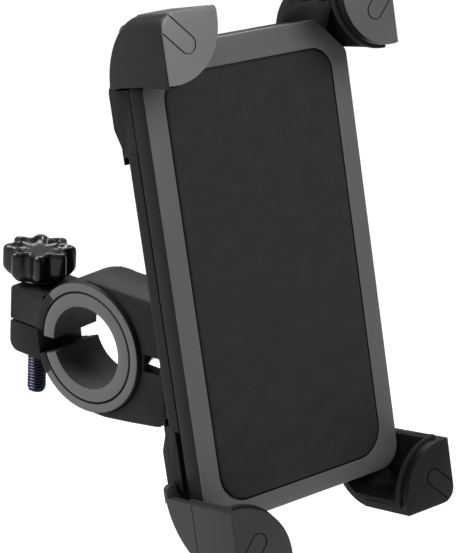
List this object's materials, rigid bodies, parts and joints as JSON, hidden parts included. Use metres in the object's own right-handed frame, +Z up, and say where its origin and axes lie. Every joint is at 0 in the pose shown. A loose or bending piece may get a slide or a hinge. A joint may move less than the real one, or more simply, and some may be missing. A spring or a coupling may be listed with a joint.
{
  "type": "phone handlebar mount",
  "caption": "Phone holder for a motorcycle handlebar: padded head with linked spring-loaded corner claws, on a locking ball joint and a split bar clamp with a lobed knob.",
  "frame": {"origin": "centre of the handlebar bore, half way along the clamp", "axes": "+X along the handlebar, -Y from the bar towards the phone, +Y towards the knob, +Z up along the clamp bolt"},
  "size_m": [0.0856, 0.1503, 0.1502],
  "materials": {
    "grey_plastic": "moulded nylon, fine satin grain",
    "dark_plastic": "moulded nylon, satin",
    "gloss_black": "polished black plastic",
    "rubber": "matt rubber with a fine grid texture",
    "zinc_steel": "zinc plated steel",
    "black_steel": "blackened steel",
    "nylon": "natural nylon"
  },
  "bodies": {
    "clamp": {"clamp_body": "dark_plastic", "bar_sleeve": "rubber", "clamp_nut": "zinc_steel", "ball_stud": "zinc_steel", "stud_nut": "zinc_steel"},
    "knob_washer_body": {"knob_washer": "zinc_steel"},
    "knob": {"star_knob": "gloss_black", "clamp_bolt": "black_steel"},
    "seat_front": {"front_ball_seat": "nylon"},
    "seat_rear": {"rear_ball_seat": "nylon"},
    "head": {"front_frame": "grey_plastic", "front_pad": "rubber", "chassis_plate": "zinc_steel", "back_shell": "dark_plastic", "ball_socket": "dark_plastic", "case_screw_1": "zinc_steel", "case_screw_2": "zinc_steel", "case_screw_3": "zinc_steel", "case_screw_4": "zinc_steel", "socket_screw_1": "zinc_steel", "socket_screw_2": "zinc_steel", "socket_screw_3": "zinc_steel", "opening_spring": "zinc_steel", "release_spring": "zinc_steel"},
    "ring_nut_body": {"ring_nut": "dark_plastic"},
    "gear": {"sync_gear": "zinc_steel", "gear_pivot": "zinc_steel"},
    "release": {"release_slider": "zinc_steel", "release_button": "dark_plastic"},
    "claw_tl_body": {"claw_tl": "grey_plastic", "claw_liner_tl": "rubber", "slide_arm_tl": "zinc_steel", "claw_screw_tl": "zinc_steel"},
    "claw_tr_body": {"claw_tr": "grey_plastic", "claw_liner_tr": "rubber", "slide_arm_tr": "zinc_steel", "claw_screw_tr": "zinc_steel"},
    "claw_bl_body": {"claw_bl": "grey_plastic", "claw_liner_bl": "rubber", "slide_arm_bl": "zinc_steel", "claw_screw_bl": "zinc_steel"},
    "claw_br_body": {"claw_br": "grey_plastic", "claw_liner_br": "rubber", "slide_arm_br": "zinc_steel", "claw_screw_br": "zinc_steel"}
  },
  "joints": [
    {"name": "knob_lift", "type": "slide", "parent": "clamp", "child": "knob_washer_body", "axis": [0, 0, 1], "range_m": [0, 0.005]},
    {"name": "knob_turn", "type": "hinge", "parent": "knob_washer_body", "child": "knob", "pos_m": [0, 0.0283, 0], "axis": [0, 0, 1], "range_deg": [0, 1815]},
    {"name": "ball_pan", "type": "hinge", "parent": "clamp", "child": "seat_front", "pos_m": [0, -0.0469, 0.0012], "axis": [0, 0, 1], "range_deg": [-10, 40]},
    {"name": "ball_tilt", "type": "hinge", "parent": "seat_front", "child": "seat_rear", "pos_m": [0, -0.0469, 0.0012], "axis": [0.9659, -0.2588, 0], "range_deg": [-12, 42]},
    {"name": "ball_roll", "type": "hinge", "parent": "seat_rear", "child": "head", "pos_m": [0, -0.0469, 0.0012], "axis": [0.249, 0.9294, -0.2723], "continuous": true},
    {"name": "ring_nut_turn", "type": "hinge", "parent": "head", "child": "ring_nut_body", "pos_m": [0, -0.0469, 0.0012], "axis": [0.249, 0.9294, -0.2723], "range_deg": [0, 120]},
    {"name": "claw_tl_slide", "type": "slide", "parent": "head", "child": "claw_tl_body", "axis": [-0.4093, 0.3558, 0.8402], "range_m": [0, 0.024]},
    {"name": "claw_tr_slide", "type": "slide", "parent": "head", "child": "claw_tr_body", "axis": [0.4658, 0.1316, 0.8751], "range_m": [0, 0.0241]},
    {"name": "claw_bl_slide", "type": "slide", "parent": "head", "child": "claw_bl_body", "axis": [-0.4658, -0.1316, -0.8751], "range_m": [0, 0.0241]},
    {"name": "claw_br_slide", "type": "slide", "parent": "head", "child": "claw_br_body", "axis": [0.4093, -0.3558, -0.8402], "range_m": [0, 0.0241]},
    {"name": "gear_turn", "type": "hinge", "parent": "head", "child": "gear", "pos_m": [-0.00637, -0.06525, 0.04292], "axis": [-0.249, -0.9294, 0.2723], "range_deg": [0, 197.5]},
    {"name": "release_press", "type": "slide", "parent": "head", "child": "release", "axis": [-0.968, 0.2481, -0.0386], "range_m": [0, 0.0025], "stiffness_N_per_m": 400, "springref_m": -0.002, "deforming": ["release_spring"]}
  ],
  "couplings": [
    {"joint": "knob_turn", "follows": "knob_lift", "rad_per_m": 6283.2},
    {"joint": "claw_tr_slide", "follows": "claw_tl_slide", "ratio": 1},
    {"joint": "claw_bl_slide", "follows": "claw_tl_slide", "ratio": 1},
    {"joint": "claw_br_slide", "follows": "claw_tl_slide", "ratio": 1},
    {"joint": "gear_turn", "follows": "claw_tl_slide", "rad_per_m": 142.86}
  ]
}
